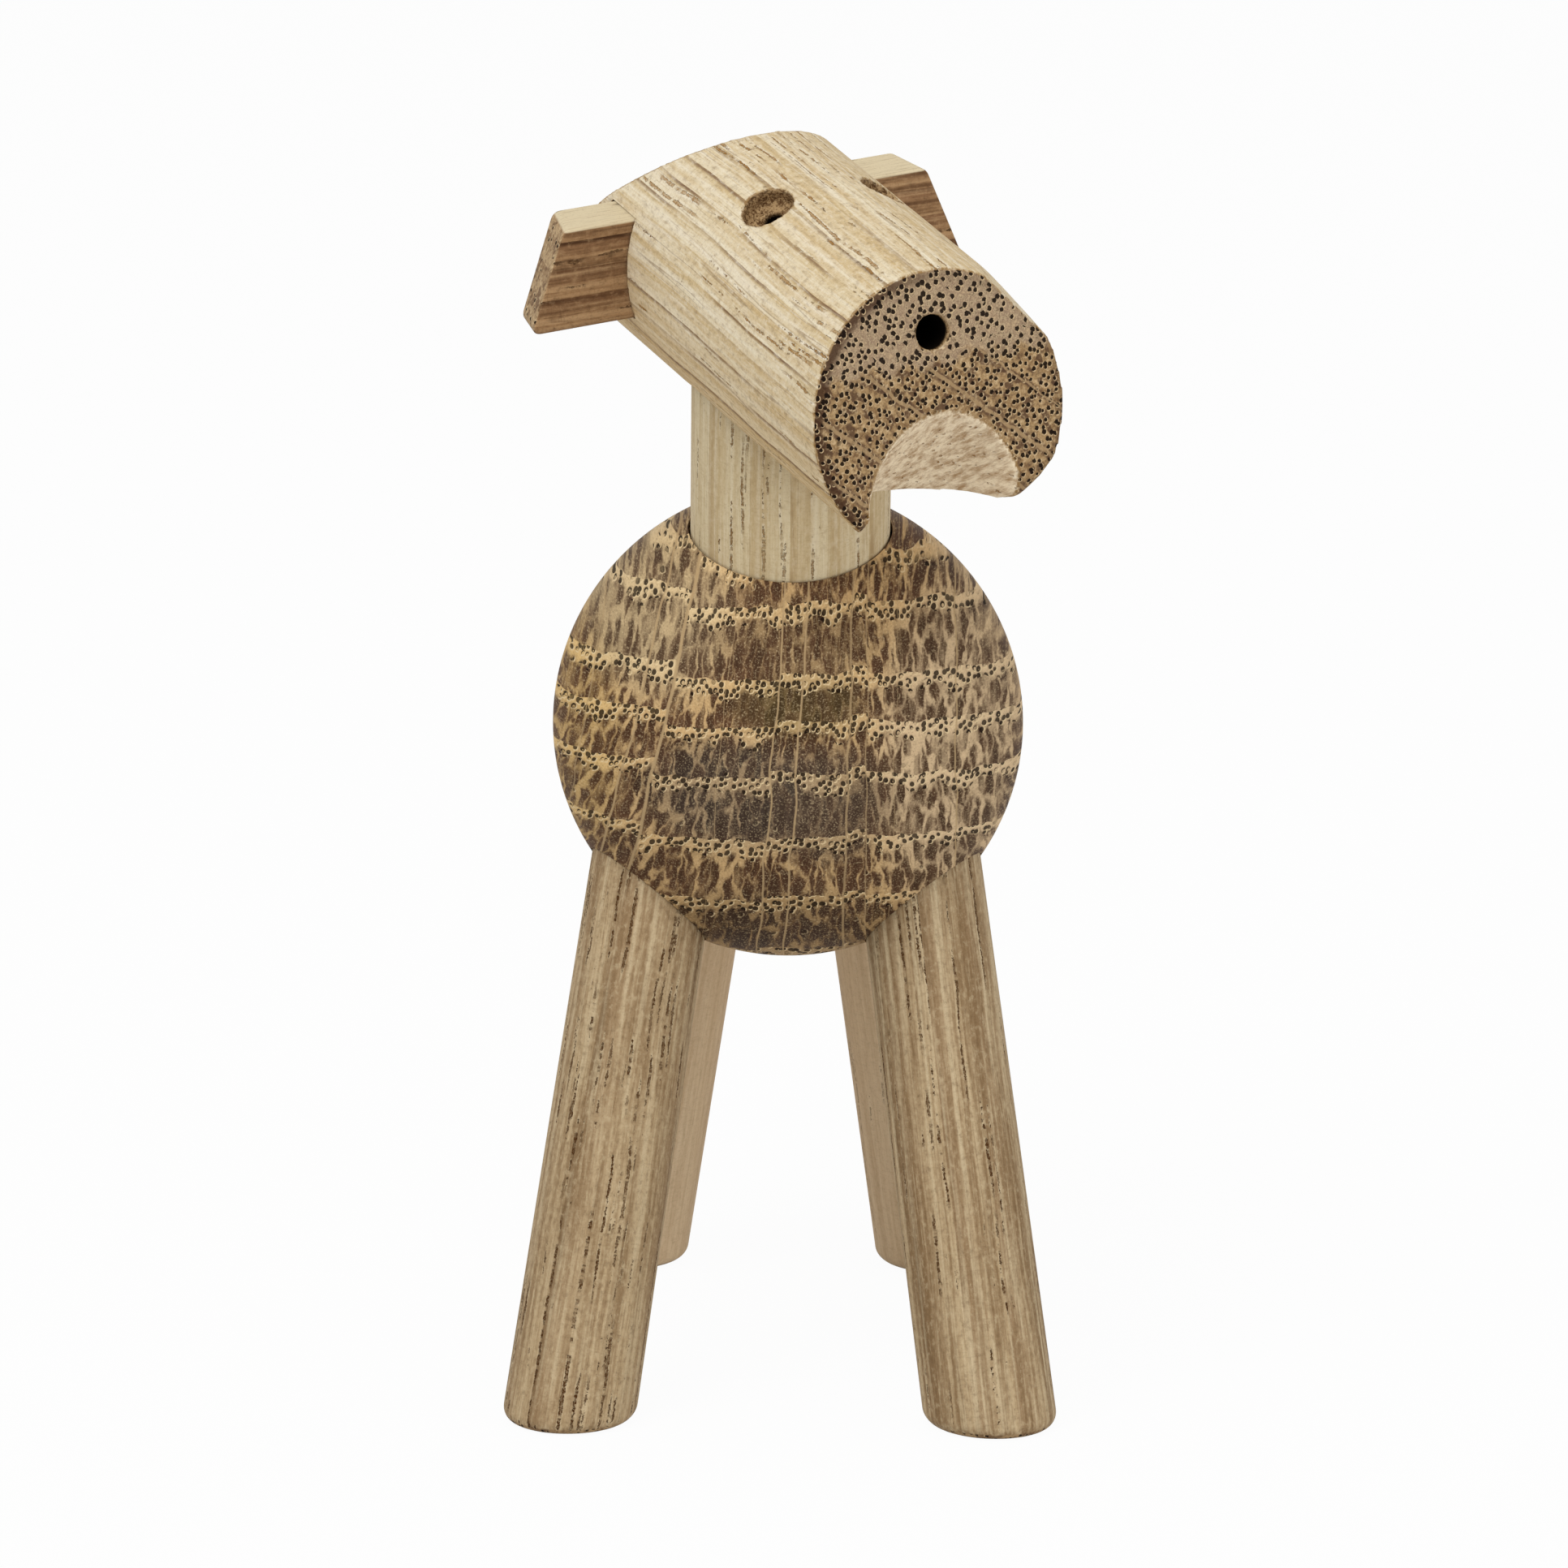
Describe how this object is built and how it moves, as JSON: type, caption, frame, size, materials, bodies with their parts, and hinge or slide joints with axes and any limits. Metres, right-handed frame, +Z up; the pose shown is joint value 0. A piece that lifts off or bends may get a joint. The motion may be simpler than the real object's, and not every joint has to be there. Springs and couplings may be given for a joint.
{
  "type": "wooden dog figurine",
  "caption": "Wooden dog figurine: turned egg-shaped body on splayed dowel legs, short tail, and a slant-cut dowel head with board ears on a leaning neck that turns.",
  "frame": {"origin": "middle of the bounding box, on the ground under the soles", "axes": "+Z up, -Y the way the body faces, +X the dog's left"},
  "size_m": [0.0334, 0.0598, 0.0775],
  "materials": {
    "smoked_oak": "sanded end grain, oiled, matt",
    "light_oak": "sanded, oiled, matt",
    "tan_oak": "sanded, oiled, matt, open pores",
    "brown_oak": "sawn and sanded, oiled, matt",
    "black_rubber": "matt"
  },
  "bodies": {
    "torso": {"body": "smoked_oak", "leg_front_left": "tan_oak", "leg_front_right": "tan_oak", "leg_rear_left": "tan_oak", "leg_rear_right": "tan_oak", "tail": "tan_oak"},
    "head_and_neck": {"neck": "light_oak", "friction_ring": "black_rubber", "head": "light_oak", "ear_left": "brown_oak", "ear_right": "brown_oak"}
  },
  "joints": [
    {"name": "head_turn", "type": "hinge", "parent": "torso", "child": "head_and_neck", "pos_m": [0, -0.00523, 0.0409], "axis": [0, -0.1942, 0.981], "continuous": true}
  ]
}
